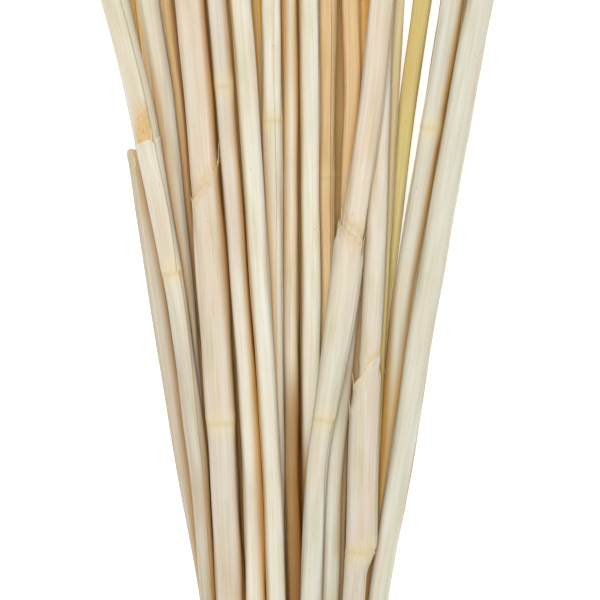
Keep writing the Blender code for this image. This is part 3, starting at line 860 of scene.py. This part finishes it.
def add_hairs(shape, path, middle, rng):
    """Stray fibres that stand out from the twine, mostly away from the middle of the bunch."""
    for _ in range(HAIRS):
        start = path[rng.integers(2, len(path) - 3)]
        lean = rng.normal(0, 1, 3)
        lean += 1.3 * (start - middle) / np.linalg.norm(start - middle)
        lean /= np.linalg.norm(lean)
        bend = rng.normal(0, 0.6, 3)
        steps = np.linspace(0, 1, 6)[:, None]
        length = rng.uniform(1.0, 2.6)
        hair = start + lean * (0.7 + length * steps) + bend * steps**2
        away = np.cross(lean, bend)[None] + 0 * hair
        strand(shape, hair, 3, HAIR_RADIUS, away, columns=4, taper=0.7)


def tie(lines):
    """Two twisted strands round the bunch, tied in a reef knot on top, with their stray fibres."""
    turns = turns_of_twine(lines)
    path = knotted_path(turns)
    middle = np.array([turns[0][0], 0.0, turns[0][2] / 2])
    out = path - middle
    out[:, 1] = 0
    along = np.gradient(path, axis=0)
    along /= np.linalg.norm(along, axis=1, keepdims=True)
    out -= along * (out * along).sum(1, keepdims=True)
    out /= np.linalg.norm(out, axis=1, keepdims=True)
    side = np.cross(along, out)
    run = TWINE_STEP * np.arange(len(path))
    shape = Shape()
    for ply in (0, 1):
        phase = (TURN * run / PLY_TWIST + math.pi * ply)[:, None]
        offset = (TWINE_RADIUS - PLY_RADIUS) * (np.cos(phase) * out + np.sin(phase) * side)
        strand(shape, path + offset, ply, PLY_RADIUS, out)
    add_hairs(shape, path, middle, np.random.default_rng(TWINE_SEED))
    return shape


# ---------------------------------------------------------------- the scene

FLOOR_HALF = 4.0  # in metres, as are the lamp's place and size
LAMP_ASIDE, LAMP_HEIGHT, LAMP_SIZE, LAMP_WATTS = 0.05, 1.5, 0.38, 14.2
FLOOR_GLOW, SURROUNDINGS_GLOW = 0.62, 0.44
LENS, SENSOR = 300.0, 36.0  # in millimetres, as is all that follows
SEEN_WIDTH, SEEN_HEIGHT = 180.0, 44.0  # how much is seen from side to side, at what height above the floor
SEEN_RIGHT, SEEN_LEVEL = 4.1, 120.0  # the middle of what is seen


def floor_and_light():
    """A white floor, even white surroundings, and a soft lamp almost straight above."""
    mesh = bpy.data.meshes.new("floor")
    corners = [(x * FLOOR_HALF, y * FLOOR_HALF, 0) for x, y in ((-1, -1), (1, -1), (1, 1), (-1, 1))]
    mesh.from_pydata(corners, [], [(0, 1, 2, 3)])
    floor = bpy.data.objects.new("floor", mesh)
    bpy.context.scene.collection.objects.link(floor)
    made = Nodes("floor_white")
    made.shader.inputs["Base Color"].default_value = (0.92, 0.92, 0.92, 1)
    made.shader.inputs["Roughness"].default_value = 0.9
    made.shader.inputs["Specular IOR Level"].default_value = 0.0
    made.shader.inputs["Emission Color"].default_value = (1, 1, 1, 1)
    made.shader.inputs["Emission Strength"].default_value = FLOOR_GLOW
    mesh.materials.append(made.material)

    world = bpy.data.worlds.new("studio")
    bpy.context.scene.world = world
    world.use_nodes = True
    background = world.node_tree.nodes["Background"]
    background.inputs["Color"].default_value = (1.0, 1.0, 0.99, 1)
    background.inputs["Strength"].default_value = SURROUNDINGS_GLOW

    light = bpy.data.lights.new("softbox", "AREA")
    light.shape = "DISK"
    light.size = LAMP_SIZE
    light.energy = LAMP_WATTS
    lamp = bpy.data.objects.new("softbox", light)
    lamp.location = (-LAMP_ASIDE, LAMP_ASIDE, LAMP_HEIGHT)
    tilt = -math.atan2(LAMP_ASIDE, LAMP_HEIGHT)
    lamp.rotation_euler = (tilt, tilt, 0)
    bpy.context.scene.collection.objects.link(lamp)


def camera():
    """Straight above the stretch of the bunch that shows, with a long lens."""
    data = bpy.data.cameras.new("camera")
    data.sensor_width = SENSOR
    data.lens = LENS
    data.clip_end = 20
    made = bpy.data.objects.new("camera", data)
    height = SEEN_HEIGHT + SEEN_WIDTH * LENS / SENSOR
    made.location = (SEEN_RIGHT * MM, (SEEN_LEVEL + TIE_LEVEL) * MM, height * MM)
    bpy.context.scene.collection.objects.link(made)
    bpy.context.scene.camera = made


def slot_of(number):
    """The name of a reed's material."""
    if number == OLIVE_REED:
        return "olive_reed"
    return "pale_reed" if number <= PALE_REEDS else "golden_reed"


def main():
    roughness = {"pale_reed": 0.60, "golden_reed": 0.64, "olive_reed": 0.62}
    materials = {name: reed_material(name, value) for name, value in roughness.items()}
    numbers = range(1, REED_COUNT + 1)
    lines = [Line(f"reed_{number:02d}", LOOKS[number].sheath if number in LOOKS else None)
             for number in numbers]
    for number in numbers:
        slot = slot_of(number)
        obj = reed(number, lines).build(f"stalk_{number:02d}", materials[slot])
        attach(obj, "root")
        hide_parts(f"reed_{number:02d}")
    obj = tie(lines).build("twine_tie", twine_material())
    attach(obj, "root")
    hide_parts("tie")
    floor_and_light()
    camera()
    bpy.context.scene.view_settings.view_transform = "Standard"


main()
